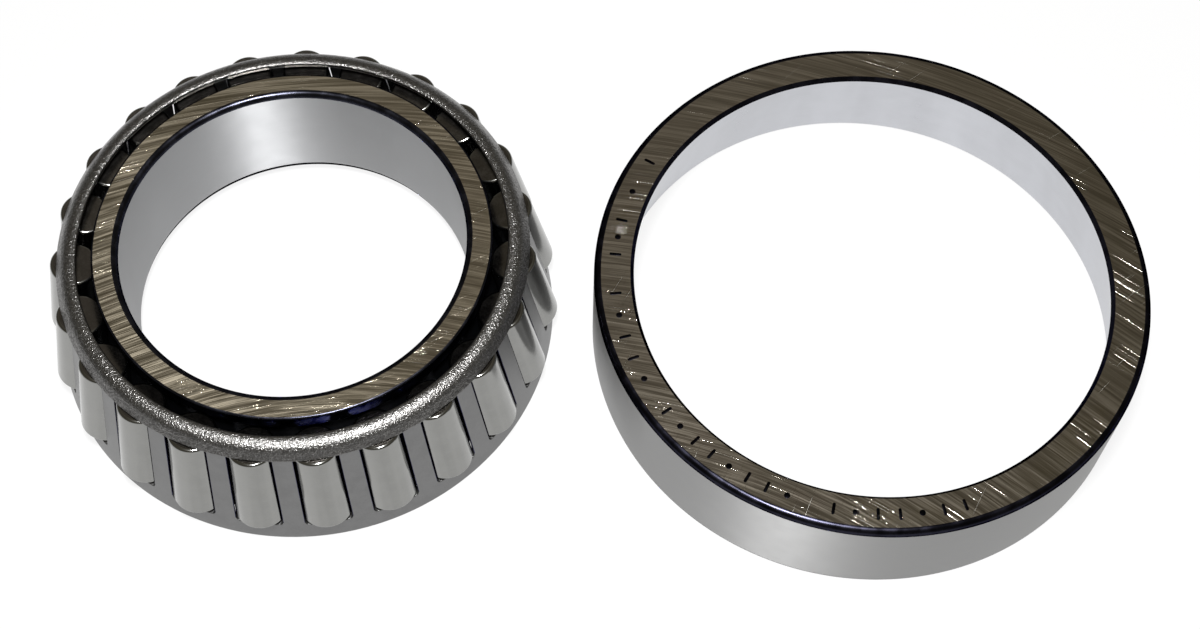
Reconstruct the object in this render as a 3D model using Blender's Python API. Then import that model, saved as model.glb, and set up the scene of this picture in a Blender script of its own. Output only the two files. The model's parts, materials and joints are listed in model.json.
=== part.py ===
"""Tapered roller bearing, single row, in two separable units.

On the left stands the cone assembly on its back face: the inner ring with its tapered raceway and two
ribs, the pressed steel cage, and the tapered rollers that the cage spaces. On the right lies the cup,
thin face down, with its tapered raceway opening downwards. Both stand on z = 0, and the origin is
between them, under the middle of the layout.

Lengths below are in millimetres and angles in degrees. Meshes are made in metres.
"""

import math

import bmesh
import bpy
from mathutils import Matrix

MM = 0.001

# Driving dimensions: boundary sizes of the bearing
BORE_RADIUS = 45.242 / 2
CUP_OUTER_RADIUS = 73.431 / 2
CONE_WIDTH = 19.812
CUP_WIDTH = 15.748
ASSEMBLED_WIDTH = 19.558

# Driving dimensions: rolling geometry
CUP_ANGLE = 11.65  # half angle of the cup's raceway
CUP_RACE_SMALL_RADIUS = 31.32  # where the raceway line meets the thick face
ROLLER_COUNT = 23
ROLLER_LARGE_RADIUS = 3.4
ROLLER_LENGTH = 13.9
ROLLER_FOOT_Z = 3.55  # centre of a roller's large end above the back face
ROLLER_CHAMFER = 0.3
FIRST_ROLLER_ANGLE = 14.86  # round the cone's axis, from the side of the cup

# Driving dimensions: inner ring
BACK_CORNER = 3.6
FRONT_BORE_CORNER = 0.8
LARGE_RIB_RADIUS = 30.2
SMALL_RIB_RADIUS = 26.05
RIB_EDGE = 0.3
UNDERCUT = 0.35
RUNNING_CLEARANCE = 0.05

# Driving dimensions: cage, pressed from sheet
CAGE_SHEET = 1.1
CAGE_ANGLE = 10.2  # half angle of the barred cone
CAGE_FOOT_RADIUS = 33.75
CAGE_FOOT_Z = 0.25
CAGE_SHOULDER_Z = 17.95  # where the barred cone turns into the rim
RIM_FOLD_RADIUS = 1.9  # outside radius of the rolled rim
RIM_FOLD_END = 114.0
WINDOW_FOOT_Z = 3.1
WINDOW_HEAD_Z = 17.88
WINDOW_OUTER_HALF_ANGLE = 5.2
WINDOW_INNER_HALF_ANGLE = 6.1

# Driving dimensions: cup
CUP_BACK_CORNER = 0.8
CUP_FRONT_CORNER = 0.5
CUP_RACE_CORNER = 0.6
CUP_MOUTH_CORNER = 0.4

# Driving dimensions: layout of the two units
CONE_X = -39.3
CUP_X = 36.74
AXIS_MARK_SIZE = 10.0  # drawn size of the empties on the two axes

# Resolution of the turned shapes
RING_SEGMENTS = 96
ROLLER_SEGMENTS = 20
CORNER_STEPS = 3
FOLD_STEPS = 6
SMOOTH_BELOW = math.radians(35)
SOLVER_ROUNDS = 20


def tan(degrees):
    """Tangent of an angle in degrees."""
    return math.tan(math.radians(degrees))


def cos(degrees):
    """Cosine of an angle in degrees."""
    return math.cos(math.radians(degrees))


def sin(degrees):
    """Sine of an angle in degrees."""
    return math.sin(math.radians(degrees))


# The raceways and the rollers all taper to one apex on the bearing's axis
APEX_Z = ASSEMBLED_WIDTH + CUP_RACE_SMALL_RADIUS / tan(CUP_ANGLE)


def solve_roller_half_angle():
    """Half angle of a roller whose large end has its given radius at its given height."""
    half_angle = 1.0
    for _ in range(SOLVER_ROUNDS):
        axis_angle = CUP_ANGLE - half_angle
        distance = (APEX_Z - ROLLER_FOOT_Z) / cos(axis_angle)
        half_angle = math.degrees(math.atan(ROLLER_LARGE_RADIUS / distance))
    return half_angle


ROLLER_HALF_ANGLE = solve_roller_half_angle()
ROLLER_AXIS_ANGLE = CUP_ANGLE - ROLLER_HALF_ANGLE
CONE_RACE_ANGLE = CUP_ANGLE - 2 * ROLLER_HALF_ANGLE
ROLLER_FOOT_DISTANCE = (APEX_Z - ROLLER_FOOT_Z) / cos(ROLLER_AXIS_ANGLE)
ROLLER_FOOT_RADIUS = ROLLER_FOOT_DISTANCE * sin(ROLLER_AXIS_ANGLE)
ROLLER_SMALL_RADIUS = (ROLLER_FOOT_DISTANCE - ROLLER_LENGTH) * tan(ROLLER_HALF_ANGLE)
ROLLER_PITCH = 360.0 / ROLLER_COUNT


def arc(centre_r, centre_z, radius, start, end, steps):
    """Points of an arc in the (r, z) half plane, from one angle to another in degrees."""
    angles = [start + (end - start) * i / steps for i in range(steps + 1)]
    return [(centre_r + radius * cos(a), centre_z + radius * sin(a)) for a in angles]


def cone_race_radius(z):
    """Radius of the inner ring's raceway at height z, with the running clearance taken off."""
    return (APEX_Z - z) * tan(CONE_RACE_ANGLE) - RUNNING_CLEARANCE


def cup_race_radius(z):
    """Radius of the cup's raceway at height z above the cup's thin face."""
    return CUP_RACE_SMALL_RADIUS + (CUP_WIDTH - z) * tan(CUP_ANGLE)


def new_material(name, colour, roughness):
    """A plain metal with one colour and one roughness."""
    material = bpy.data.materials.new(name)
    material.use_nodes = True
    shader = material.node_tree.nodes["Principled BSDF"]
    shader.inputs["Base Color"].default_value = (*colour, 1.0)
    shader.inputs["Metallic"].default_value = 1.0
    shader.inputs["Roughness"].default_value = roughness
    return material


def new_object(name, mesh, material, parent=None):
    """An object for a finished mesh, shaded smooth except at real edges."""
    if not mesh.materials:
        mesh.materials.append(material)
        mesh.shade_smooth()
        mesh.set_sharp_from_angle(angle=SMOOTH_BELOW)
    obj = bpy.data.objects.new(name, mesh)
    bpy.context.scene.collection.objects.link(obj)
    obj.parent = parent
    return obj


def new_empty(name, x):
    """A guide on the axis of one of the two units, at the height of the table."""
    empty = bpy.data.objects.new(name, None)
    empty.empty_display_size = AXIS_MARK_SIZE * MM
    empty.location = (x * MM, 0, 0)
    bpy.context.scene.collection.objects.link(empty)
    return empty


def mesh_from(name, bm):
    """A mesh with its faces turned outwards."""
    bmesh.ops.recalc_face_normals(bm, faces=bm.faces)
    mesh = bpy.data.meshes.new(name)
    bm.to_mesh(mesh)
    bm.free()
    return mesh


def lathe(name, profile, segments):
    """A ring turned round Z from a closed profile of (r, z) points that stays off the axis."""
    bm = bmesh.new()
    loops = []
    for i in range(segments):
        a = 360.0 * i / segments
        loops.append([bm.verts.new((r * cos(a) * MM, r * sin(a) * MM, z * MM)) for r, z in profile])
    for i, loop in enumerate(loops):
        after = loops[(i + 1) % segments]
        for j in range(len(profile)):
            k = (j + 1) % len(profile)
            bm.faces.new((loop[j], after[j], after[k], loop[k]))
    return mesh_from(name, bm)


def inner_ring_profile():
    """Outline of the inner ring: bore, back corner, large rib, raceway, small rib, front face."""
    foot_z = ROLLER_FOOT_Z - ROLLER_LARGE_RADIUS * sin(ROLLER_AXIS_ANGLE) - RUNNING_CLEARANCE
    head_z = ROLLER_FOOT_Z + ROLLER_LENGTH * cos(ROLLER_AXIS_ANGLE)
    race_foot_r = cone_race_radius(foot_z)
    race_head_r = cone_race_radius(head_z)
    rib_face_r = LARGE_RIB_RADIUS - RIB_EDGE
    rib_face_z = foot_z + (rib_face_r - race_foot_r) * tan(ROLLER_AXIS_ANGLE)
    back_corner = arc(BORE_RADIUS + BACK_CORNER, BACK_CORNER, BACK_CORNER, 180, 270, 2 * CORNER_STEPS)
    front_corner = arc(
        BORE_RADIUS + FRONT_BORE_CORNER,
        CONE_WIDTH - FRONT_BORE_CORNER,
        FRONT_BORE_CORNER,
        90,
        180,
        CORNER_STEPS,
    )
    large_rib = [
        (rib_face_r, 0),
        (LARGE_RIB_RADIUS, RIB_EDGE),
        (LARGE_RIB_RADIUS, rib_face_z - RIB_EDGE),
        (rib_face_r, rib_face_z),
    ]
    foot_undercut = [
        (race_foot_r + UNDERCUT, foot_z),
        (race_foot_r - UNDERCUT, foot_z - UNDERCUT / 2),
        (cone_race_radius(foot_z + 2 * UNDERCUT), foot_z + 2 * UNDERCUT),
    ]
    head_undercut = [
        (race_head_r, head_z - UNDERCUT),
        (race_head_r - UNDERCUT, head_z + UNDERCUT / 2),
    ]
    small_rib = [
        (SMALL_RIB_RADIUS - RIB_EDGE, head_z + UNDERCUT / 2),
        (SMALL_RIB_RADIUS, head_z + UNDERCUT / 2 + RIB_EDGE),
        (SMALL_RIB_RADIUS, CONE_WIDTH - RIB_EDGE),
        (SMALL_RIB_RADIUS - RIB_EDGE, CONE_WIDTH),
    ]
    return back_corner + large_rib + foot_undercut + head_undercut + small_rib + front_corner


def cup_profile():
    """Outline of the cup: thin face, outside, thick face, race corner, raceway, mouth corner."""
    thick_r = CUP_OUTER_RADIUS - CUP_BACK_CORNER
    outside = [
        (CUP_OUTER_RADIUS - CUP_FRONT_CORNER, 0),
        (CUP_OUTER_RADIUS, CUP_FRONT_CORNER),
    ]
    outside += arc(thick_r, CUP_WIDTH - CUP_BACK_CORNER, CUP_BACK_CORNER, 0, 90, CORNER_STEPS)
    corner_z = CUP_WIDTH - CUP_RACE_CORNER
    race = [
        (cup_race_radius(CUP_WIDTH) + CUP_RACE_CORNER, CUP_WIDTH),
        (cup_race_radius(corner_z), corner_z),
        (cup_race_radius(CUP_MOUTH_CORNER), CUP_MOUTH_CORNER),
        (cup_race_radius(0) + CUP_MOUTH_CORNER, 0),
    ]
    return outside + race


def roller_mesh():
    """A tapered roller on its own axis, large end at z = 0, with chamfered ends."""
    flat_foot = ROLLER_LARGE_RADIUS - ROLLER_CHAMFER
    flat_head = ROLLER_SMALL_RADIUS - ROLLER_CHAMFER
    taper = tan(ROLLER_HALF_ANGLE)
    profile = [
        (flat_foot, 0),
        (ROLLER_LARGE_RADIUS - ROLLER_CHAMFER * taper, ROLLER_CHAMFER),
        (ROLLER_SMALL_RADIUS + ROLLER_CHAMFER * taper, ROLLER_LENGTH - ROLLER_CHAMFER),
        (flat_head, ROLLER_LENGTH),
    ]
    bm = bmesh.new()
    loops = []
    for r, z in profile:
        angles = [360.0 * i / ROLLER_SEGMENTS for i in range(ROLLER_SEGMENTS)]
        loops.append([bm.verts.new((r * cos(a) * MM, r * sin(a) * MM, z * MM)) for a in angles])
    bmesh.ops.bridge_loops(bm, edges=loop_edges(bm, loops[0]) + loop_edges(bm, loops[1]))
    bmesh.ops.bridge_loops(bm, edges=loop_edges(bm, loops[1]) + loop_edges(bm, loops[2]))
    bmesh.ops.bridge_loops(bm, edges=loop_edges(bm, loops[2]) + loop_edges(bm, loops[3]))
    bm.faces.new(loops[0])
    bm.faces.new(loops[3])
    return mesh_from("roller", bm)


def loop_edges(bm, verts):
    """The edges of a closed loop of vertices, made where they are missing."""
    edges = []
    for i, vert in enumerate(verts):
        after = verts[(i + 1) % len(verts)]
        edges.append(bm.edges.get((vert, after)) or bm.edges.new((vert, after)))
    return edges


def cage_stations():
    """Pairs of (r, z) points, outer and inner side of the sheet, from the foot to the rim's lip.

    Returns the pairs and the two indices between which the windows are cut.
    """
    slope = tan(CAGE_ANGLE)

    def on_cone(z):
        outer = (CAGE_FOOT_RADIUS - (z - CAGE_FOOT_Z) * slope, z)
        inner = (outer[0] - CAGE_SHEET * cos(CAGE_ANGLE), z - CAGE_SHEET * sin(CAGE_ANGLE))
        return outer, inner

    foot_outer = (CAGE_FOOT_RADIUS, CAGE_FOOT_Z)
    foot_inner = (CAGE_FOOT_RADIUS - CAGE_SHEET / cos(CAGE_ANGLE), CAGE_FOOT_Z)
    pairs = [(foot_outer, foot_inner), on_cone(WINDOW_FOOT_Z), on_cone(WINDOW_HEAD_Z)]
    shoulder_r = on_cone(CAGE_SHOULDER_Z)[0][0]
    centre_r = shoulder_r - RIM_FOLD_RADIUS * cos(CAGE_ANGLE)
    centre_z = CAGE_SHOULDER_Z - RIM_FOLD_RADIUS * sin(CAGE_ANGLE)
    outer_fold = arc(centre_r, centre_z, RIM_FOLD_RADIUS, CAGE_ANGLE, RIM_FOLD_END, FOLD_STEPS)
    inner_radius = RIM_FOLD_RADIUS - CAGE_SHEET
    inner_fold = arc(centre_r, centre_z, inner_radius, CAGE_ANGLE, RIM_FOLD_END, FOLD_STEPS)
    pairs += list(zip(outer_fold, inner_fold))
    return pairs, 1, 2


def cage_angles():
    """Angles round the cage on each side of the sheet: for each pitch, a window's edge, middle and edge."""
    angles = []
    for k in range(ROLLER_COUNT):
        middle = FIRST_ROLLER_ANGLE + k * ROLLER_PITCH
        for share in (-1, 0, 1):
            outer = middle + share * WINDOW_OUTER_HALF_ANGLE
            inner = middle + share * WINDOW_INNER_HALF_ANGLE
            angles.append((outer, inner, share))
    return angles


def cage_mesh():
    """The cage: a skin on each side of the sheet, open where the windows are, closed by their walls."""
    pairs, foot, head = cage_stations()
    angles = cage_angles()
    bm = bmesh.new()

    def place(point, angle):
        r, z = point
        return bm.verts.new((r * cos(angle) * MM, r * sin(angle) * MM, z * MM))

    outer = [[place(pair[0], a[0]) for pair in pairs] for a in angles]
    inner = [[place(pair[1], a[1]) for pair in pairs] for a in angles]
    last = len(pairs) - 1
    for i, (_, _, share) in enumerate(angles):
        j = (i + 1) % len(angles)
        over_window = share < 1
        for k in range(last):
            if over_window and foot <= k < head:
                continue
            bm.faces.new((outer[i][k], outer[j][k], outer[j][k + 1], outer[i][k + 1]))
            bm.faces.new((inner[i][k + 1], inner[j][k + 1], inner[j][k], inner[i][k]))
        for k in (0, last) + ((foot, head) if over_window else ()):
            bm.faces.new((outer[i][k], inner[i][k], inner[j][k], outer[j][k]))
        if share != 0:
            for k in range(foot, head):
                bm.faces.new((outer[i][k], outer[i][k + 1], inner[i][k + 1], inner[i][k]))
    return mesh_from("cage", bm)


def build():
    """Clears the scene and makes every piece."""
    for obj in list(bpy.data.objects):
        bpy.data.objects.remove(obj)

    ground_steel = new_material("ground_steel", (0.60, 0.59, 0.57), 0.22)
    roller_steel = new_material("roller_steel", (0.68, 0.68, 0.67), 0.14)
    cage_steel = new_material("cage_steel", (0.42, 0.41, 0.40), 0.42)

    cone_axis = new_empty("cone_axis", CONE_X)
    cup_axis = new_empty("cup_axis", CUP_X)

    ring_mesh = lathe("inner_ring", inner_ring_profile(), RING_SEGMENTS)
    new_object("inner_ring", ring_mesh, ground_steel, cone_axis)
    cup_mesh = lathe("cup", cup_profile(), RING_SEGMENTS)
    new_object("cup", cup_mesh, ground_steel, cup_axis)
    new_object("cage", cage_mesh(), cage_steel, cone_axis)

    shared = roller_mesh()
    foot = Matrix.Translation((ROLLER_FOOT_RADIUS * MM, 0, ROLLER_FOOT_Z * MM))
    lean = Matrix.Rotation(math.radians(-ROLLER_AXIS_ANGLE), 4, "Y")
    for k in range(ROLLER_COUNT):
        angle = FIRST_ROLLER_ANGLE + k * ROLLER_PITCH
        roller = new_object(f"roller_{k + 1:02d}", shared, roller_steel, cone_axis)
        roller.matrix_local = Matrix.Rotation(math.radians(angle), 4, "Z") @ foot @ lean


build()
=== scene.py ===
"""Looks of the tapered roller bearing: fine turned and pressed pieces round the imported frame.

Every CAD node is replaced by a finer piece of the same size in the same place. Lengths named here are in
millimetres and angles in degrees, unless a name ends in _M, which means metres. Places come from the
frame's boxes and joints.
"""

import json
import math

import bmesh
import bpy
from mathutils import Matrix, Vector

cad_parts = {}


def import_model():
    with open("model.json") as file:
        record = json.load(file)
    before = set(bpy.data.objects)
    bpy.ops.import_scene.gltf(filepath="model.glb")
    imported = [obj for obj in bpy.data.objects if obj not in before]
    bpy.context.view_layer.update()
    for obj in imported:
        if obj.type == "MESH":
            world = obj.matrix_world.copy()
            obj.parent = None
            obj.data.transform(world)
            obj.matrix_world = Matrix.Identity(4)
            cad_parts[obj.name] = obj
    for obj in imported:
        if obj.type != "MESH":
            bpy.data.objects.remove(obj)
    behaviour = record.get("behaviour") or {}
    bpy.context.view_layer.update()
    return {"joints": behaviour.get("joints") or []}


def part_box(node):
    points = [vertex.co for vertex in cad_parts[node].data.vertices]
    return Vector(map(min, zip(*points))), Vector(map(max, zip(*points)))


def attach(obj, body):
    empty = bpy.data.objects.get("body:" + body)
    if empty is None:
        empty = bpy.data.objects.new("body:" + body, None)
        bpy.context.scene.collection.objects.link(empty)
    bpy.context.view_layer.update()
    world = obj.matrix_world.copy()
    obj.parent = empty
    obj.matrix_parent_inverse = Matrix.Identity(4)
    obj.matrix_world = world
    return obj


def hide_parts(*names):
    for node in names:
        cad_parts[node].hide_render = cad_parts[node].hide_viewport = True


MM = 0.001

# Sizes of the bearing, the same as in the CAD model
BORE_RADIUS = 45.242 / 2
CONE_WIDTH = 19.812
CUP_WIDTH = 15.748
ASSEMBLED_WIDTH = 19.558
CUP_ANGLE = 11.65
CUP_RACE_SMALL_RADIUS = 31.32
ROLLER_COUNT = 23
ROLLER_LARGE_RADIUS = 3.4
ROLLER_LENGTH = 13.9
ROLLER_FOOT_Z = 3.55
BACK_CORNER = 3.6
FRONT_BORE_CORNER = 0.8
LARGE_RIB_RADIUS = 30.2
SMALL_RIB_RADIUS = 26.05
RIB_EDGE = 0.3
UNDERCUT = 0.35
RUNNING_CLEARANCE = 0.05
CAGE_SHEET = 1.1
CAGE_ANGLE = 10.2
CAGE_FOOT_RADIUS = 33.75
CAGE_FOOT_Z = 0.25
CAGE_SHOULDER_Z = 17.95
RIM_FOLD_RADIUS = 1.9
RIM_FOLD_END = 114.0
WINDOW_FOOT_Z = 3.1
WINDOW_INNER_HALF_ANGLE = 6.1
CUP_FRONT_CORNER = 0.5
CUP_RACE_CORNER = 0.6
CUP_MOUTH_CORNER = 0.4

# Sizes that differ a little from the CAD model's, or that it leaves out
CUP_BACK_CORNER = 0.92
ROLLER_CORNER = 0.4
WINDOW_HEAD_Z = 17.84
WINDOW_OUTER_HALF_ANGLE = 5.32
WINDOW_CORNER = 0.5
WINDOW_FOOT_RISE = 0.28  # for each millimetre into the sheet
SHEET_EDGE = 0.1
RIM_SKIRT_TURN = 35.0
RIM_SKIRT_LENGTH = 1.05
RIM_SKIRT_EDGE = 0.12
RIM_SKIRT_EDGE_SWEEP = 150.0
LIP_EDGE = 0.35
BRIGHT_CORNER_POINTS = 2  # of the inner ring's back corner, which shine like the bore; the rest is painted dark as shade where it meets the table

# How finely curves are divided, and which edges stay smooth
RING_SEGMENTS = 360
CORNER_STEPS = 8
FOLD_STEPS = 14
ROLLER_SEGMENTS = 72
ROLLER_CORNER_STEPS = 5
WINDOW_CORNER_STEPS = 4
WINDOW_SIDE_STEPS = 4
WINDOW_END_STEPS = 6
EDGE_STEPS = 3
LIP_STEPS = 4
SOLVER_ROUNDS = 20
SMOOTH_BELOW = 38.0
WELD_M = 1e-7

# Plain marks on the cup's face, in groups of (first angle, last angle, number of marks)
MARK_GROUPS = ((151, 160, 2), (168, 177, 3), (187, 209, 5), (218, 250, 8), (260, 288, 7))
MARK_RADIUS = 34.0
MARK_LENGTH = 1.6
MARK_WIDTH = 0.42
DOT_LENGTH = 2 * MARK_WIDTH
DOT_WIDTH = 1.9 * MARK_WIDTH
DOT_EVERY = 3  # one mark in so many is a dot
MARK_PROUD = 0.012
MARK_SUNK = 0.05
MARK_TOP_SHARE = 0.9
MARK_END_STEPS = 6

# Camera: the place, turns and lens that lay both rings' outlines where the photo has them
CAMERA_PLACE_M = (0.001735, -0.129743, 0.241064)
CAMERA_PITCH = 61.498
CAMERA_YAW = -0.321
CAMERA_ROLL = 1.806
CAMERA_LENS = 59.136
CAMERA_SENSOR = 36.0
CAMERA_NEAR_M = 0.01

# Light: one compact lamp close to the camera, a floor that glows and a dim room
LAMP_PLACE_M = (-0.006, -0.09, 0.33)
LAMP_WIDTH_M = 0.045
LAMP_WATTS = 2.0
FLOOR_REACH_M = 1.5
FLOOR_GLOW = 0.88
FLOOR_COLOUR = (0.08, 0.08, 0.08)
HORIZON_COLOUR = (0.21, 0.21, 0.21)
CEILING_COLOUR = (0.185, 0.168, 0.14)
CEILING_SIDE_COLOUR = (0.12, 0.108, 0.08)

# Looks that materials share
SCRATCH_COLOUR = (0.5, 0.48, 0.44)
SHADE_AND_PRINT_GLANCE = (0.08, 0.08, 0.105)  # blue cast, at a glancing angle, of the painted-shade corners and walls and of the dark marks
QUARTER_TURN = 0.25  # of a highlight's streak, which puts it across the tangent


def tan(degrees):
    """Tangent of an angle in degrees."""
    return math.tan(math.radians(degrees))


def cos(degrees):
    """Cosine of an angle in degrees."""
    return math.cos(math.radians(degrees))


def sin(degrees):
    """Sine of an angle in degrees."""
    return math.sin(math.radians(degrees))


APEX_Z = ASSEMBLED_WIDTH + CUP_RACE_SMALL_RADIUS / tan(CUP_ANGLE)


def roller_half_angle():
    """Half angle of a roller whose large end has its given radius at its given height."""
    half_angle = 1.0
    for _ in range(SOLVER_ROUNDS):
        distance = (APEX_Z - ROLLER_FOOT_Z) / cos(CUP_ANGLE - half_angle)
        half_angle = math.degrees(math.atan(ROLLER_LARGE_RADIUS / distance))
    return half_angle


ROLLER_HALF_ANGLE = roller_half_angle()
ROLLER_AXIS_ANGLE = CUP_ANGLE - ROLLER_HALF_ANGLE
CONE_RACE_ANGLE = CUP_ANGLE - 2 * ROLLER_HALF_ANGLE
PITCH = 360.0 / ROLLER_COUNT
WINDOW_MIDDLE_RADIUS = CAGE_FOOT_RADIUS - (WINDOW_HEAD_Z + WINDOW_FOOT_Z) / 2 * tan(CAGE_ANGLE)
DEGREES_PER_MM = math.degrees(1 / WINDOW_MIDDLE_RADIUS)


# ---------------------------------------------------------------- shader helpers

# Places of the Mix node's sockets for colours
MIX_FIRST, MIX_SECOND, MIX_RESULT = 6, 7, 2


def feed(tree, node, inputs):
    """Fills a node's inputs. Each is a value, or another node's output to link."""
    for key, value in inputs.items():
        if isinstance(value, bpy.types.NodeSocket):
            tree.links.new(value, node.inputs[key])
        else:
            node.inputs[key].default_value = value


def add(tree, kind, inputs=None, **settings):
    """A shader node with its settings and inputs."""
    made = tree.nodes.new("ShaderNode" + kind)
    for key, value in settings.items():
        setattr(made, key, value)
    feed(tree, made, inputs or {})
    return made


def math_node(tree, operation, a, b=0.0):
    """The output of one Math node."""
    return add(tree, "Math", {0: a, 1: b}, operation=operation).outputs[0]


def weighted_sum(tree, *parts):
    """The sum of (value, share) parts, each value times its share."""
    scaled = [math_node(tree, "MULTIPLY", value, share) for value, share in parts]
    total = scaled[0]
    for part in scaled[1:]:
        total = math_node(tree, "ADD", total, part)
    return total


def remap(tree, value, low, high, to_low=0.0, to_high=1.0):
    """Value eased from one range to another and clamped."""
    inputs = {"Value": value, "From Min": low, "From Max": high, "To Min": to_low, "To Max": to_high}
    return add(tree, "MapRange", inputs, interpolation_type="SMOOTHSTEP").outputs[0]


def opaque(colour):
    """A colour of three numbers as a socket wants it. A node's output stays as it is."""
    return colour if isinstance(colour, bpy.types.NodeSocket) else (*colour, 1.0)


def mix_colour(tree, share, first, second):
    """Colour between two colours, of which each is three numbers or a node's output."""
    made = add(tree, "Mix", data_type="RGBA")
    feed(tree, made, {"Factor": share, MIX_FIRST: opaque(first), MIX_SECOND: opaque(second)})
    return made.outputs[MIX_RESULT]


def times(colour, share):
    """A colour made darker or lighter."""
    return tuple(share * c for c in colour)


def new_metal(name):
    """An empty metal material: the material, its tree and its shader."""
    material = bpy.data.materials.new(name)
    material.use_nodes = True
    tree = material.node_tree
    shader = tree.nodes["Principled BSDF"]
    shader.inputs["Metallic"].default_value = 1.0
    return material, tree, shader


def object_mm(tree):
    """The object's own coordinates in millimetres."""
    place = add(tree, "TexCoord").outputs["Object"]
    return add(tree, "VectorMath", {0: place, "Scale": 1 / MM}, operation="SCALE").outputs[0]


def noise(tree, vector, scale, detail=2.0, roughness=0.5):
    """Noise between 0 and 1."""
    inputs = {"Vector": vector, "Scale": scale, "Detail": detail, "Roughness": roughness}
    return add(tree, "TexNoise", inputs).outputs[0]


def bump(tree, height, depth, strength=1.0):
    """Normal of a surface whose height goes up and down by a depth in millimetres."""
    inputs = {"Strength": strength, "Distance": depth * MM, "Height": height}
    return add(tree, "Bump", inputs).outputs[0]


def from_centre(tree, place, centre):
    """The three coordinates of a place, counted from a centre (x, y)."""
    moved = add(tree, "VectorMath", {0: place, 1: (-centre[0], -centre[1], 0)}, operation="ADD")
    return add(tree, "SeparateXYZ", {0: moved.outputs[0]}).outputs


def arc_lines(tree, place, centre, across, along, detail, roughness):
    """Noise drawn out into lines round a far centre: tight across the arcs and long along them."""
    x, y, z = from_centre(tree, place, centre)
    level = add(tree, "CombineXYZ", {0: x, 1: y})
    distance = add(tree, "VectorMath", {0: level.outputs[0]}, operation="LENGTH").outputs["Value"]
    turn = math_node(tree, "ARCTAN2", y, x)
    line = math_node(tree, "MULTIPLY", distance, 1 / across)
    run = math_node(tree, "MULTIPLY", turn, math.hypot(*centre) / along)
    drawn = add(tree, "CombineXYZ", {0: line, 1: run, 2: z}).outputs[0]
    return noise(tree, drawn, scale=1.0, detail=detail, roughness=roughness)


def along_arcs(tree, place, centre):
    """Direction that runs round a far centre, level with the table."""
    x, y, _ = from_centre(tree, place, centre)
    turned = add(tree, "CombineXYZ", {0: math_node(tree, "MULTIPLY", y, -1.0), 1: x})
    return add(tree, "VectorMath", {0: turned.outputs[0]}, operation="NORMALIZE").outputs[0]


def ring_lines(tree, place, around, along_axis, detail, roughness):
    """Noise drawn out round Z or along it: so many marks in each radian, and each so long along the axis."""
    x, y, z = add(tree, "SeparateXYZ", {0: place}).outputs
    turn = math_node(tree, "MULTIPLY", math_node(tree, "ARCTAN2", y, x), around)
    height = math_node(tree, "MULTIPLY", z, 1 / along_axis)
    drawn = add(tree, "CombineXYZ", {0: turn, 1: height}).outputs[0]
    return noise(tree, drawn, scale=1.0, detail=detail, roughness=roughness)


# ---------------------------------------------------------------- materials


def ground_face(name, main_centre, cross_centre, tint, polish, wear):
    """Face ground flat: fine marks in wide arcs, which glint across their run, and crossing scratches.

    Polish is the roughness of its smoothest and its coarsest marks. Wear is how deep its scratches are.
    """
    material, tree, shader = new_metal(name)
    place = object_mm(tree)
    fine = arc_lines(tree, place, main_centre, across=0.15, along=15.0, detail=3.0, roughness=0.7)
    broad = arc_lines(tree, place, main_centre, across=0.5, along=14.0, detail=2.0, roughness=0.55)
    deep = arc_lines(tree, place, main_centre, across=0.1, along=12.0, detail=1.0, roughness=0.4)
    cross = arc_lines(tree, place, cross_centre, across=0.1, along=9.0, detail=1.0, roughness=0.4)
    patches = noise(tree, place, scale=0.13, detail=1.0)
    scratches = math_node(tree, "MAXIMUM", remap(tree, deep, 0.68, 0.8), remap(tree, cross, 0.69, 0.8))
    worn = math_node(tree, "MULTIPLY", scratches, remap(tree, patches, 0.38, 0.6))
    lines = weighted_sum(tree, (fine, 0.6), (broad, 0.4))
    ground = mix_colour(tree, remap(tree, lines, 0.38, 0.62), times(tint, 0.68), tint)
    rough = math_node(tree, "ADD", remap(tree, lines, 0.36, 0.64, *polish), remap(tree, worn, 0, 1, 0, 0.2))
    height = math_node(tree, "SUBTRACT", math_node(tree, "MULTIPLY", fine, 0.25), worn)
    looks = {
        "Base Color": mix_colour(tree, worn, ground, SCRATCH_COLOUR),
        "Roughness": rough,
        "Anisotropic": 0.85,
        "Anisotropic Rotation": QUARTER_TURN,
        "Tangent": along_arcs(tree, place, main_centre),
        "Normal": bump(tree, height, depth=wear),
    }
    feed(tree, shader, looks)
    return material


def polished_round(name, tint, roughness, streak, anisotropy=0.5, bands=2.0):
    """Bore, raceway, outside or roller: ground round its axis and polished, with soft bands along it.

    Streak is how much darker the dark bands are, and bands is how close together they stand.
    """
    material, tree, shader = new_metal(name)
    place = object_mm(tree)
    lines = ring_lines(tree, place, around=3.0, along_axis=0.12, detail=3.0, roughness=0.6)
    upright = ring_lines(tree, place, around=bands, along_axis=60.0, detail=2.0, roughness=0.5)
    cloud = noise(tree, place, scale=0.35)
    mixed = weighted_sum(tree, (lines, 0.2), (cloud, 0.2), (upright, 0.6))
    tangent = add(tree, "Tangent", direction_type="RADIAL", axis="Z")
    looks = {
        "Base Color": mix_colour(tree, remap(tree, mixed, 0.35, 0.65), times(tint, 1 - streak), tint),
        "Roughness": remap(tree, mixed, 0.3, 0.7, roughness * 0.9, roughness * 1.1),
        "Anisotropic": anisotropy,
        "Anisotropic Rotation": QUARTER_TURN,
        "Tangent": tangent.outputs[0],
        "Normal": bump(tree, lines, depth=0.004, strength=0.25),
    }
    feed(tree, shader, looks)
    return material


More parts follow.
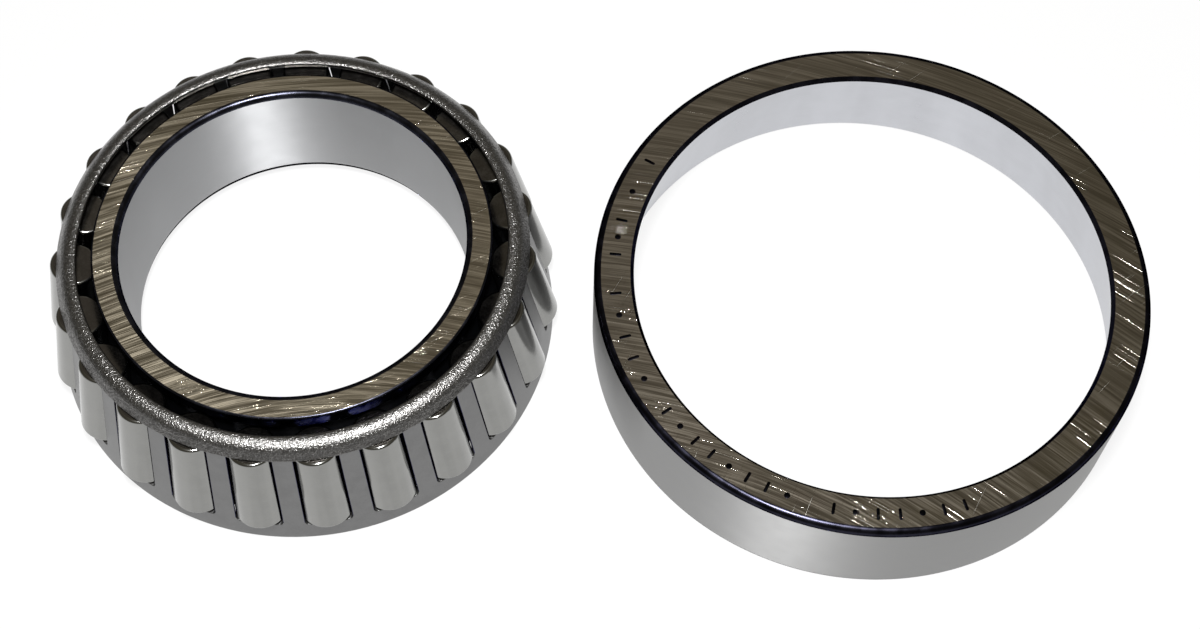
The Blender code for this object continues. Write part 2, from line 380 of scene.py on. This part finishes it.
def painted_shade_and_print(name, tint):
    """Dark metal with a faint blue cast: turned corners and window walls painted dark as shade, and the
    marks' dark print.
    """
    material, tree, shader = new_metal(name)
    spots = noise(tree, object_mm(tree), scale=0.5)
    looks = {
        "Base Color": mix_colour(tree, remap(tree, spots, 0.35, 0.7), tint, times(tint, 1.7)),
        "Roughness": remap(tree, spots, 0.3, 0.7, 0.2, 0.3),
        "Specular Tint": opaque(SHADE_AND_PRINT_GLANCE),
        "Normal": bump(tree, spots, depth=0.01, strength=0.2),
    }
    feed(tree, shader, looks)
    return material


def peened(name, tint):
    """Cage rim, tumbled: grainy all over, so that its highlight breaks up into sparkle."""
    material, tree, shader = new_metal(name)
    place = object_mm(tree)
    grain = noise(tree, place, scale=3.1, roughness=0.65)
    speck = noise(tree, place, scale=6.6, detail=1.0)
    both = weighted_sum(tree, (grain, 0.6), (speck, 0.4))
    looks = {
        "Base Color": mix_colour(tree, remap(tree, both, 0.37, 0.65), times(tint, 0.45), tint),
        "Roughness": remap(tree, both, 0.35, 0.65, 0.36, 0.26),
        "Normal": bump(tree, both, depth=0.14),
    }
    feed(tree, shader, looks)
    return material


def satin(name, tint, roughness):
    """Rolled sheet of the cage's bars and foot band, and the rollers' ends."""
    material, tree, shader = new_metal(name)
    place = object_mm(tree)
    cloud = noise(tree, place, scale=0.5, detail=3.0, roughness=0.6)
    grain = noise(tree, place, scale=5.0, roughness=0.6)
    mixed = weighted_sum(tree, (cloud, 0.6), (grain, 0.4))
    looks = {
        "Base Color": mix_colour(tree, remap(tree, mixed, 0.36, 0.64), times(tint, 0.84), tint),
        "Roughness": remap(tree, mixed, 0.3, 0.7, roughness, roughness + 0.1),
        "Normal": bump(tree, grain, depth=0.01, strength=0.3),
    }
    feed(tree, shader, looks)
    return material


# ---------------------------------------------------------------- mesh helpers


def arc(centre_r, centre_z, radius, start, end, steps):
    """Points of an arc in the (r, z) half plane, from one angle to another in degrees."""
    angles = [start + (end - start) * i / steps for i in range(steps + 1)]
    return [(centre_r + radius * cos(a), centre_z + radius * sin(a)) for a in angles]


def polar(r, angle, z):
    """A point in metres from a radius, an angle round Z and a height."""
    return r * cos(angle) * MM, r * sin(angle) * MM, z * MM


def stretch(zone, points):
    """Points of an outline, each with the zone of the surface that starts there."""
    return [(r, z, zone) for r, z in points]


def between(first, second, steps):
    """The points that divide the way between two points into equal steps, without its ends."""
    return [tuple(a + (b - a) * i / steps for a, b in zip(first, second)) for i in range(1, steps)]


def bridge(bm, loops):
    """Bands of four-sided faces from each closed loop of vertices to the next."""
    faces = []
    for one, two in zip(loops, loops[1:]):
        for i in range(len(one)):
            j = (i + 1) % len(one)
            faces.append(bm.faces.new((one[i], one[j], two[j], two[i])))
    return faces


def lathe(profile, segments):
    """A ring turned round Z from a closed outline of (r, z, zone) points that stays off the axis."""
    bm = bmesh.new()
    loops = []
    for i in range(segments):
        angle = 360.0 * i / segments
        loops.append([bm.verts.new(polar(r, angle, z)) for r, z, _ in profile])
    for loop, after in zip(loops, loops[1:] + loops[:1]):
        for j, (_, _, zone) in enumerate(profile):
            k = (j + 1) % len(profile)
            bm.faces.new((loop[j], after[j], after[k], loop[k])).material_index = zone
    return bm


def new_object(name, data):
    """An object in the scene."""
    made = bpy.data.objects.new(name, data)
    bpy.context.scene.collection.objects.link(made)
    return made


def finish_piece(name, bm, materials, location, body, nodes):
    """The object of a finished mesh: shaded, placed, riding on its body and standing for its CAD nodes."""
    bmesh.ops.recalc_face_normals(bm, faces=bm.faces)
    mesh = bpy.data.meshes.new(name)
    bm.to_mesh(mesh)
    bm.free()
    for material in materials:
        mesh.materials.append(material)
    mesh.shade_smooth()
    mesh.set_sharp_from_angle(angle=math.radians(SMOOTH_BELOW))
    piece = new_object(name, mesh)
    weighted = piece.modifiers.new("weighted", "WEIGHTED_NORMAL")
    weighted.keep_sharp = True
    piece.location = location
    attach(piece, body)
    if nodes:
        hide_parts(*nodes)
    return piece


def axis_of(node):
    """Where a ring's axis meets the table: the middle of its CAD box, at height zero."""
    low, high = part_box(node)
    return Vector(((low.x + high.x) / 2, (low.y + high.y) / 2, 0))


# ---------------------------------------------------------------- inner ring

# Zones of a ring's surface, in the order of its materials; the corner zone gets the dark painted shade
FACE, ROUND, CORNER, RACE = range(4)


def inner_ring_outline():
    """Outline of the inner ring: back corner, back face, large rib, raceway, small rib, front face, bore."""
    foot_z = ROLLER_FOOT_Z - ROLLER_LARGE_RADIUS * sin(ROLLER_AXIS_ANGLE) - RUNNING_CLEARANCE
    head_z = ROLLER_FOOT_Z + ROLLER_LENGTH * cos(ROLLER_AXIS_ANGLE)

    def race_r(z):
        return (APEX_Z - z) * tan(CONE_RACE_ANGLE) - RUNNING_CLEARANCE

    foot_r, head_r = race_r(foot_z), race_r(head_z)
    rib_r = LARGE_RIB_RADIUS - RIB_EDGE
    rib_z = foot_z + (rib_r - foot_r) * tan(ROLLER_AXIS_ANGLE)
    small_z = head_z + UNDERCUT / 2
    back = arc(BORE_RADIUS + BACK_CORNER, BACK_CORNER, BACK_CORNER, 180, 270, 2 * CORNER_STEPS)
    bright = BRIGHT_CORNER_POINTS
    # Below its first points the back corner takes the dark material: painted shade where the ring meets the
    # table
    outline = stretch(ROUND, back[:bright]) + stretch(CORNER, back[bright:-1])
    outline += stretch(FACE, back[-1:])
    outline += stretch(CORNER, arc(rib_r, RIB_EDGE, RIB_EDGE, 270, 360, CORNER_STEPS))
    outline += stretch(CORNER, arc(rib_r, rib_z - RIB_EDGE, RIB_EDGE, 0, 90, CORNER_STEPS))
    outline += stretch(CORNER, [(foot_r + UNDERCUT, foot_z), (foot_r - UNDERCUT, foot_z - UNDERCUT / 2)])
    outline += stretch(RACE, [(race_r(foot_z + 2 * UNDERCUT), foot_z + 2 * UNDERCUT)])
    outline += stretch(CORNER, [(head_r, head_z - UNDERCUT), (head_r - UNDERCUT, small_z)])
    small_r = SMALL_RIB_RADIUS - RIB_EDGE
    outline += stretch(CORNER, [(small_r, small_z), (SMALL_RIB_RADIUS, small_z + RIB_EDGE)])
    front = arc(small_r, CONE_WIDTH - RIB_EDGE, RIB_EDGE, 0, 90, CORNER_STEPS)
    outline += stretch(CORNER, front[:-1]) + stretch(FACE, front[-1:])
    mouth_z = CONE_WIDTH - FRONT_BORE_CORNER
    mouth = arc(BORE_RADIUS + FRONT_BORE_CORNER, mouth_z, FRONT_BORE_CORNER, 90, 180, CORNER_STEPS)
    outline += stretch(CORNER, mouth[:-1]) + stretch(ROUND, mouth[-1:])
    return outline


def make_inner_ring():
    """The inner ring, with its ground front face, polished bore, and turned corners and raceway painted dark
    as shade.
    """
    face = ground_face(
        "cone_ground_face",
        main_centre=(11.0, -76.0),
        cross_centre=(-50.0, 130.0),
        tint=(0.5, 0.445, 0.345),
        polish=(0.105, 0.232),
        wear=0.03,
    )
    bore = polished_round(
        "cone_bore", (0.44, 0.445, 0.455), roughness=0.38, streak=0.08, anisotropy=1.0, bands=1.2
    )
    # Corners and undercuts painted dark as shade, with a faint blue cast
    corner = painted_shade_and_print("cone_corner_painted_shade", (0.026, 0.027, 0.036))
    # Raceway, seen only through the gap, painted dark as shade
    race = polished_round("cone_raceway_painted_shade", (0.05, 0.053, 0.062), roughness=0.3, streak=0.1)
    bm = lathe(inner_ring_outline(), RING_SEGMENTS)
    materials = [face, bore, corner, race]
    place = axis_of("inner_ring")
    return finish_piece("inner_ring_fine", bm, materials, place, "inner_ring", ["inner_ring"])


# ---------------------------------------------------------------- cup


def cup_outline():
    """Outline of the cup: thin face, outside, thick face, raceway, mouth."""
    low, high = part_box("cup")
    outer_r = (high.x - low.x) / 2 / MM

    def race_r(z):
        return CUP_RACE_SMALL_RADIUS + (CUP_WIDTH - z) * tan(CUP_ANGLE)

    front = arc(outer_r - CUP_FRONT_CORNER, CUP_FRONT_CORNER, CUP_FRONT_CORNER, 270, 360, CORNER_STEPS)
    back = arc(outer_r - CUP_BACK_CORNER, CUP_WIDTH - CUP_BACK_CORNER, CUP_BACK_CORNER, 0, 90, CORNER_STEPS)
    corner_z = CUP_WIDTH - CUP_RACE_CORNER
    outline = stretch(CORNER, front[:-1]) + stretch(ROUND, front[-1:])
    outline += stretch(CORNER, back[:-1]) + stretch(FACE, back[-1:])
    outline += stretch(CORNER, [(race_r(CUP_WIDTH) + CUP_RACE_CORNER, CUP_WIDTH)])
    outline += stretch(RACE, [(race_r(corner_z), corner_z)])
    outline += stretch(CORNER, [(race_r(CUP_MOUTH_CORNER), CUP_MOUTH_CORNER)])
    outline += stretch(FACE, [(race_r(0) + CUP_MOUTH_CORNER, 0)])
    return outline


def make_cup():
    """The cup, thin face down: ground faces, polished raceway and outside, turned corners painted dark as
    shade.
    """
    face = ground_face(
        "cup_ground_face",
        main_centre=(-45.0, -110.0),
        cross_centre=(90.0, -70.0),
        tint=(0.43, 0.39, 0.325),
        polish=(0.07, 0.145),
        wear=0.014,
    )
    outside = polished_round(
        "cup_outside", (0.345, 0.345, 0.345), roughness=0.33, streak=0.12, anisotropy=1.0, bands=1.5
    )
    # Corners painted dark as shade, with the thin dark line where the cup meets the table
    corner = painted_shade_and_print("cup_corner_painted_shade", (0.015, 0.015, 0.022))
    race = polished_round(
        "cup_raceway", (0.56, 0.57, 0.605), roughness=0.3, streak=0.12, anisotropy=0.8, bands=5.0
    )
    bm = lathe(cup_outline(), RING_SEGMENTS)
    materials = [face, outside, corner, race]
    return finish_piece("cup_fine", bm, materials, axis_of("cup"), "cup", ["cup"])


def mark_outline(length, width):
    """Outline of one mark round its middle: a short bar with round ends."""
    half = (length - width) / 2
    far = arc(half, 0, width / 2, -90, 90, MARK_END_STEPS)
    return far + [(-x, -y) for x, y in far]


def add_mark(bm, angle, outline):
    """One closed mark, standing a little proud of the cup's face."""
    levels = ((CUP_WIDTH - MARK_SUNK, 1.0), (CUP_WIDTH, 1.0), (CUP_WIDTH + MARK_PROUD, MARK_TOP_SHARE))
    loops = []
    for z, size in levels:
        loop = []
        for out, side in outline:
            turn = angle + math.degrees(side * size / MARK_RADIUS)
            loop.append(bm.verts.new(polar(MARK_RADIUS + out * size, turn, z)))
        loops.append(loop)
    bridge(bm, loops)
    bm.faces.new(loops[0])
    bm.faces.new(loops[-1])


def make_cup_marks():
    """Short dark bars and dots on the cup's face, in plain groups with no lettering."""
    bar = mark_outline(MARK_LENGTH, MARK_WIDTH)
    dot = mark_outline(DOT_LENGTH, DOT_WIDTH)
    bm = bmesh.new()
    for first, last, count in MARK_GROUPS:
        for i in range(count):
            angle = first + (last - first) * i / (count - 1)
            add_mark(bm, angle, dot if i % DOT_EVERY == 1 else bar)
    materials = [painted_shade_and_print("stamped_mark", (0.006, 0.006, 0.008))]
    return finish_piece("cup_marks_fine", bm, materials, axis_of("cup"), "cup", [])


# ---------------------------------------------------------------- rollers

# Zones of a roller's surface, in the order of its materials
FLANK, END = range(2)


def roller_outline():
    """Half outline of a roller on its own axis, from its large end to its small one, with round edges."""
    large_r = ROLLER_LARGE_RADIUS - ROLLER_CORNER
    small_r = ROLLER_LARGE_RADIUS - ROLLER_LENGTH * tan(ROLLER_HALF_ANGLE) - ROLLER_CORNER
    head_z = ROLLER_LENGTH - ROLLER_CORNER
    foot = arc(large_r, ROLLER_CORNER, ROLLER_CORNER, 270, 360, ROLLER_CORNER_STEPS)
    head = arc(small_r, head_z, ROLLER_CORNER, 0, 90, ROLLER_CORNER_STEPS)
    return foot + head


def roller_bmesh():
    """One tapered roller, standing on its large end."""
    angles = [360.0 * i / ROLLER_SEGMENTS for i in range(ROLLER_SEGMENTS)]
    bm = bmesh.new()
    loops = []
    for r, z in roller_outline():
        loops.append([bm.verts.new(polar(r, angle, z)) for angle in angles])
    for face in bridge(bm, loops):
        face.material_index = FLANK
    for loop in (loops[0], loops[-1]):
        bm.faces.new(loop).material_index = END
    return bm


def make_rollers(joints):
    """A fine roller for each roller joint, standing along the joint's axis."""
    flank = polished_round(
        "roller_flank", (0.275, 0.275, 0.265), roughness=0.15, streak=0.16, anisotropy=0.15, bands=1.3
    )
    # Rollers' ends: the same steel as the flanks, painted darker as the shade of the dark room overhead
    materials = [flank, satin("roller_end_painted_shade", (0.16, 0.15, 0.14), roughness=0.16)]
    for joint in joints:
        body = joint["child"]
        if not body.startswith("roller"):
            continue
        lean = Vector((0, 0, 1)).rotation_difference(Vector(joint["axis"])).to_matrix().to_4x4()
        bm = roller_bmesh()
        piece = finish_piece(body + "_fine", bm, materials, (0, 0, 0), body, [body])
        piece.matrix_world = Matrix.Translation(joint["pos_m"]) @ lean


# ---------------------------------------------------------------- cage

# Zones of the cage's surface, in the order of its materials, and the two sides of its sheet
BAND, RIM, WALL, INSIDE = range(4)
OUTER, INNER = range(2)


def on_cone(z, depth):
    """Radius and height of the barred cone: its outer side at height z, then depth into the sheet."""
    r = CAGE_FOOT_RADIUS - (z - CAGE_FOOT_Z) * tan(CAGE_ANGLE) - depth * cos(CAGE_ANGLE)
    return r, z - depth * sin(CAGE_ANGLE)


def window_half_angle(depth):
    """Half the angle that a window takes at a depth in the sheet."""
    share = depth / CAGE_SHEET
    return WINDOW_OUTER_HALF_ANGLE + share * (WINDOW_INNER_HALF_ANGLE - WINDOW_OUTER_HALF_ANGLE)


def window_foot(depth):
    """Height of a window's foot, which rises a little towards the inside of the sheet."""
    return WINDOW_FOOT_Z + WINDOW_FOOT_RISE * depth


def window_corners(depth, offset):
    """A window's four rounded corners as (angle, height) points, grown by an offset, from the lower left."""
    near = window_half_angle(depth) - WINDOW_CORNER * DEGREES_PER_MM
    low, high = window_foot(depth) + WINDOW_CORNER, WINDOW_HEAD_Z - WINDOW_CORNER
    radius = WINDOW_CORNER + offset
    corners = []
    for angle, z, start in ((-near, low, 180), (near, low, 270), (near, high, 0), (-near, high, 90)):
        turned = arc(0, 0, radius, start, start + 90, WINDOW_CORNER_STEPS)
        corners.append([(angle + x * DEGREES_PER_MM, z + y) for x, y in turned])
    return corners


def window_loop(bm, middle, depth, offset):
    """New vertices round a window's outline at a depth in the sheet."""
    corners = window_corners(depth, offset)
    points = []
    for i, corner in enumerate(corners):
        # The foot follows the first corner, then a side, the head and the other side
        steps = WINDOW_SIDE_STEPS if i % 2 else WINDOW_END_STEPS
        points += corner + between(corner[-1], corners[(i + 1) % len(corners)][0], steps)
    found = []
    for angle, z in points:
        r, height = on_cone(z, depth)
        found.append(bm.verts.new(polar(r, middle + angle, height)))
    return found


def window_heights(depth):
    """Heights of the sheet's rows beside a window, from its foot to its head."""
    foot = window_foot(depth)
    low, high = foot + WINDOW_CORNER, WINDOW_HEAD_Z - WINDOW_CORNER
    sides = [z for (z,) in between((low,), (high,), WINDOW_SIDE_STEPS)]
    return [foot - SHEET_EDGE, low, *sides, high, WINDOW_HEAD_Z + SHEET_EDGE]


def fold_centre():
    """Centre of the rim's fold, which the barred cone runs into at its shoulder."""
    shoulder_r, shoulder_z = on_cone(CAGE_SHOULDER_Z, 0)
    return shoulder_r - RIM_FOLD_RADIUS * cos(CAGE_ANGLE), shoulder_z - RIM_FOLD_RADIUS * sin(CAGE_ANGLE)


def rim_outside():
    """Outer side of the rolled rim: an edge a little proud of the bars, a flat skirt, the fold, the lip."""
    centre_r, centre_z = fold_centre()
    turn, edge = RIM_SKIRT_TURN, RIM_SKIRT_EDGE
    inset = RIM_FOLD_RADIUS - edge
    edge_r = centre_r + inset * cos(turn) + RIM_SKIRT_LENGTH * sin(turn)
    edge_z = centre_z + inset * sin(turn) - RIM_SKIRT_LENGTH * cos(turn)
    points = [on_cone(CAGE_SHOULDER_Z, 0)]
    points += arc(edge_r, edge_z, edge, turn - RIM_SKIRT_EDGE_SWEEP, turn, 2 * LIP_STEPS)
    lip_turn = math.degrees(LIP_EDGE / RIM_FOLD_RADIUS)
    points += arc(centre_r, centre_z, RIM_FOLD_RADIUS, turn, RIM_FOLD_END - lip_turn, FOLD_STEPS)
    for i in range(1, LIP_STEPS + 1):
        t = 90 * i / LIP_STEPS
        reach = RIM_FOLD_RADIUS - LIP_EDGE * (1 - cos(t))
        angle = RIM_FOLD_END - lip_turn * (1 - sin(t))
        points.append((centre_r + reach * cos(angle), centre_z + reach * sin(angle)))
    return points


def cage_rows():
    """The closed section of the cage's sheet as rows of (r, z, side, zone), and which rows a window cuts."""
    edge = SHEET_EDGE
    foot_r = CAGE_FOOT_RADIUS - CAGE_SHEET / cos(CAGE_ANGLE)
    foot_out = arc(CAGE_FOOT_RADIUS - edge, CAGE_FOOT_Z + edge, edge, 270, 360, EDGE_STEPS)
    foot_in = arc(foot_r + edge, CAGE_FOOT_Z + edge, edge, 180, 270, EDGE_STEPS)
    fold_in = arc(*fold_centre(), RIM_FOLD_RADIUS - CAGE_SHEET, RIM_FOLD_END, CAGE_ANGLE, FOLD_STEPS)
    rows = [(r, z, OUTER, BAND) for r, z in foot_out]
    outer_heights, inner_heights = window_heights(0), window_heights(CAGE_SHEET)
    outer_window = range(len(rows), len(rows) + len(outer_heights) - 1)
    rows += [(*on_cone(z, 0), OUTER, BAND) for z in outer_heights]
    rows += [(r, z, OUTER, RIM) for r, z in rim_outside()]
    rows += [(r, z, INNER, INSIDE) for r, z in fold_in]
    inner_window = range(len(rows), len(rows) + len(inner_heights) - 1)
    rows += [(*on_cone(z, CAGE_SHEET), INNER, INSIDE) for z in reversed(inner_heights)]
    rows += [(r, z, INNER, INSIDE) for r, z in foot_in]
    return rows, set(outer_window) | set(inner_window)


def cage_columns(first_angle):
    """Angles round the cage as (outer side's, inner side's, over a window or not from here on)."""
    columns = []
    for k in range(ROLLER_COUNT):
        middle = first_angle + k * PITCH
        sides = []
        for depth in (0, CAGE_SHEET):
            half = window_half_angle(depth)
            near = half - WINDOW_CORNER * DEGREES_PER_MM
            far = half + SHEET_EDGE * DEGREES_PER_MM
            inside = [a for (a,) in between((-near,), (near,), WINDOW_END_STEPS)]
            sides.append([-far, -near, *inside, near, far, PITCH / 2])
        window_end = len(sides[0]) - 2
        for i, (outer, inner) in enumerate(zip(*sides)):
            columns.append((middle + outer, middle + inner, i < window_end))
    return columns


def skin_corners(bm, middle, depth, zone):
    """The small fans of sheet between a window's rounded corners and the grid's square ones."""
    corners = window_corners(depth, SHEET_EDGE)
    far = window_half_angle(depth) + SHEET_EDGE * DEGREES_PER_MM
    low, high = window_foot(depth) - SHEET_EDGE, WINDOW_HEAD_Z + SHEET_EDGE
    for corner, square in zip(corners, ((-far, low), (far, low), (far, high), (-far, high))):
        verts = []
        for turn, height in [square] + corner:
            r, z = on_cone(height, depth)
            verts.append(bm.verts.new(polar(r, middle + turn, z)))
        for one, two in zip(verts[1:], verts[2:]):
            bm.faces.new((verts[0], one, two)).material_index = zone


def window_walls(bm, middle):
    """A window's wall through the sheet, its edges rounded over on both sides, its foot in the sheet's
    colour and the rest painted dark as shade.
    """
    turned = arc(SHEET_EDGE, SHEET_EDGE, SHEET_EDGE, 270, 180, EDGE_STEPS)
    levels = [(depth, offset) for offset, depth in turned]
    levels += [(CAGE_SHEET - depth, offset) for depth, offset in reversed(levels)]
    loops = [window_loop(bm, middle, depth, offset) for depth, offset in levels]
    foot_top = (window_foot(CAGE_SHEET) + WINDOW_CORNER / 2) * MM
    for wall in bridge(bm, loops):
        at_foot = wall.calc_center_median().z < foot_top
        # Walls above the foot get the dark painted shade of the gaps beside the rollers
        wall.material_index = BAND if at_foot else WALL


def make_cage(first_angle):
    """The pressed cage: foot band and bars, windows with rounded corners, and the rolled rim."""
    rows, window_rows = cage_rows()
    columns = cage_columns(first_angle)
    bm = bmesh.new()
    grid = []
    for angles in columns:
        grid.append([bm.verts.new(polar(r, angles[side], z)) for r, z, side, _ in rows])
    for i, (_, _, over_window) in enumerate(columns):
        after = grid[(i + 1) % len(columns)]
        for j, (_, _, _, zone) in enumerate(rows):
            if over_window and j in window_rows:
                continue
            k = (j + 1) % len(rows)
            bm.faces.new((grid[i][j], after[j], after[k], grid[i][k])).material_index = zone
    for k in range(ROLLER_COUNT):
        middle = first_angle + k * PITCH
        skin_corners(bm, middle, 0, BAND)
        skin_corners(bm, middle, CAGE_SHEET, INSIDE)
        window_walls(bm, middle)
    bmesh.ops.remove_doubles(bm, verts=bm.verts, dist=WELD_M)
    materials = [
        satin("cage_band", (0.19, 0.19, 0.19), roughness=0.34),
        peened("cage_rim", (0.24, 0.235, 0.23)),
        # Window walls painted dark as the shade in the gaps beside the rollers
        painted_shade_and_print("cage_wall_painted_shade", (0.05, 0.05, 0.08)),
        # Inside of the sheet: the same steel as the band, painted darker as shade
        satin("cage_inside_painted_shade", (0.10, 0.10, 0.10), roughness=0.4),
    ]
    return finish_piece("cage_fine", bm, materials, axis_of("cage"), "cage", ["cage"])


def first_roller_angle(joints):
    """Angle round the cage's axis at which the first roller stands."""
    first = next(joint for joint in joints if joint["child"] == "roller_01")
    x, y, _ = first["pos_m"]
    axis = axis_of("cage")
    return math.degrees(math.atan2(y - axis.y, x - axis.x))


# ---------------------------------------------------------------- setting


def make_floor():
    """A plain pale floor, which glows so that it stays white with hardly a shadow."""
    bm = bmesh.new()
    bmesh.ops.create_grid(bm, x_segments=4, y_segments=4, size=FLOOR_REACH_M)
    mesh = bpy.data.meshes.new("floor")
    bm.to_mesh(mesh)
    bm.free()
    floor = new_object("floor", mesh)
    material = bpy.data.materials.new("pale_floor")
    material.use_nodes = True
    looks = {
        "Base Color": opaque(FLOOR_COLOUR),
        "Roughness": 0.7,
        "Specular IOR Level": 0.1,
        "Emission Color": (1, 1, 1, 1),
        "Emission Strength": FLOOR_GLOW,
    }
    feed(material.node_tree, material.node_tree.nodes["Principled BSDF"], looks)
    mesh.materials.append(material)


def make_world():
    """A dim room: grey near the horizon, warm overhead and darker there to the left and right."""
    world = bpy.data.worlds.new("studio")
    bpy.context.scene.world = world
    world.use_nodes = True
    tree = world.node_tree
    direction = add(tree, "TexCoord").outputs["Generated"]
    x, _, z = add(tree, "SeparateXYZ", {0: direction}).outputs
    side = remap(tree, math_node(tree, "ABSOLUTE", x), 0.02, 0.3)
    ceiling = mix_colour(tree, side, CEILING_COLOUR, CEILING_SIDE_COLOUR)
    colour = mix_colour(tree, remap(tree, z, 0.05, 0.5), HORIZON_COLOUR, ceiling)
    feed(tree, tree.nodes["Background"], {"Color": colour, "Strength": 1.0})


def make_lamp():
    """One round lamp close to the camera, facing the middle of the table."""
    data = bpy.data.lights.new("overhead", "AREA")
    data.shape = "DISK"
    data.size = LAMP_WIDTH_M
    data.energy = LAMP_WATTS
    lamp = new_object("overhead", data)
    lamp.location = LAMP_PLACE_M
    lamp.rotation_euler = Vector(LAMP_PLACE_M).to_track_quat("Z", "Y").to_euler()
    lamp.visible_camera = False


def make_camera():
    """The camera, looking down over the near edge of the table."""
    data = bpy.data.cameras.new("camera")
    data.lens = CAMERA_LENS
    data.sensor_width = CAMERA_SENSOR
    data.clip_start = CAMERA_NEAR_M
    camera = new_object("camera", data)
    ahead = cos(CAMERA_PITCH)
    forward = Vector((sin(CAMERA_YAW) * ahead, cos(CAMERA_YAW) * ahead, -sin(CAMERA_PITCH)))
    level = forward.cross(Vector((0, 0, 1))).normalized()
    upright = level.cross(forward)
    right = level * cos(CAMERA_ROLL) + upright * sin(CAMERA_ROLL)
    up = upright * cos(CAMERA_ROLL) - level * sin(CAMERA_ROLL)
    turn = Matrix((right, up, -forward)).transposed().to_4x4()
    camera.matrix_world = Matrix.Translation(CAMERA_PLACE_M) @ turn
    bpy.context.scene.camera = camera


def main():
    """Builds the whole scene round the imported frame."""
    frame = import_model()
    joints = frame["joints"]
    make_inner_ring()
    make_cup()
    make_cup_marks()
    make_cage(first_roller_angle(joints))
    make_rollers(joints)
    make_floor()
    make_world()
    make_lamp()
    make_camera()
    bpy.context.scene.view_settings.view_transform = "Standard"


main()
